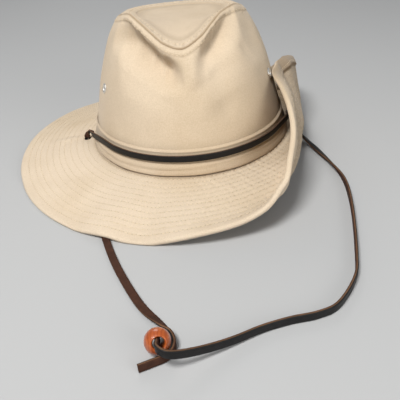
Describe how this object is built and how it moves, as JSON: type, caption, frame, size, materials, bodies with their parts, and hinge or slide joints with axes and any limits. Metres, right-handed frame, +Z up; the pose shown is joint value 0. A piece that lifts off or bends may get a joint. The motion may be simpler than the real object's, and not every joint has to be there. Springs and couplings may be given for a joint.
{
  "type": "outback hat",
  "caption": "Wide-brimmed canvas hat with a pinched teardrop crown, one side of the brim snapped up, and a leather chin lace with a bead.",
  "frame": {"origin": "middle of the hat's outline, without the chin lace, on the surface that it stands on", "axes": "+Z up, -Y towards the front of the hat, where the crown is pinched, +X towards the side whose brim is snapped up"},
  "size_m": [0.2709, 0.4452, 0.1273],
  "materials": {
    "canvas": "plain woven cotton canvas",
    "brim_canvas": "double cotton canvas with rows of stitches",
    "band_canvas": "folded cotton canvas with a twill edge",
    "leather": "dark grain leather",
    "suede": "brown suede side of the lace",
    "wood": "varnished",
    "metal": "nickel plated"
  },
  "bodies": {
    "root": {"crown_side": "canvas", "crown_tip": "canvas", "brim": "brim_canvas", "hat_band": "band_canvas", "eyelet_left": "metal", "eyelet_right": "metal", "snap": "metal", "lace_front": "leather", "chin_lace_left": "suede", "chin_lace_right": "leather", "bead": "wood"}
  },
  "joints": []
}
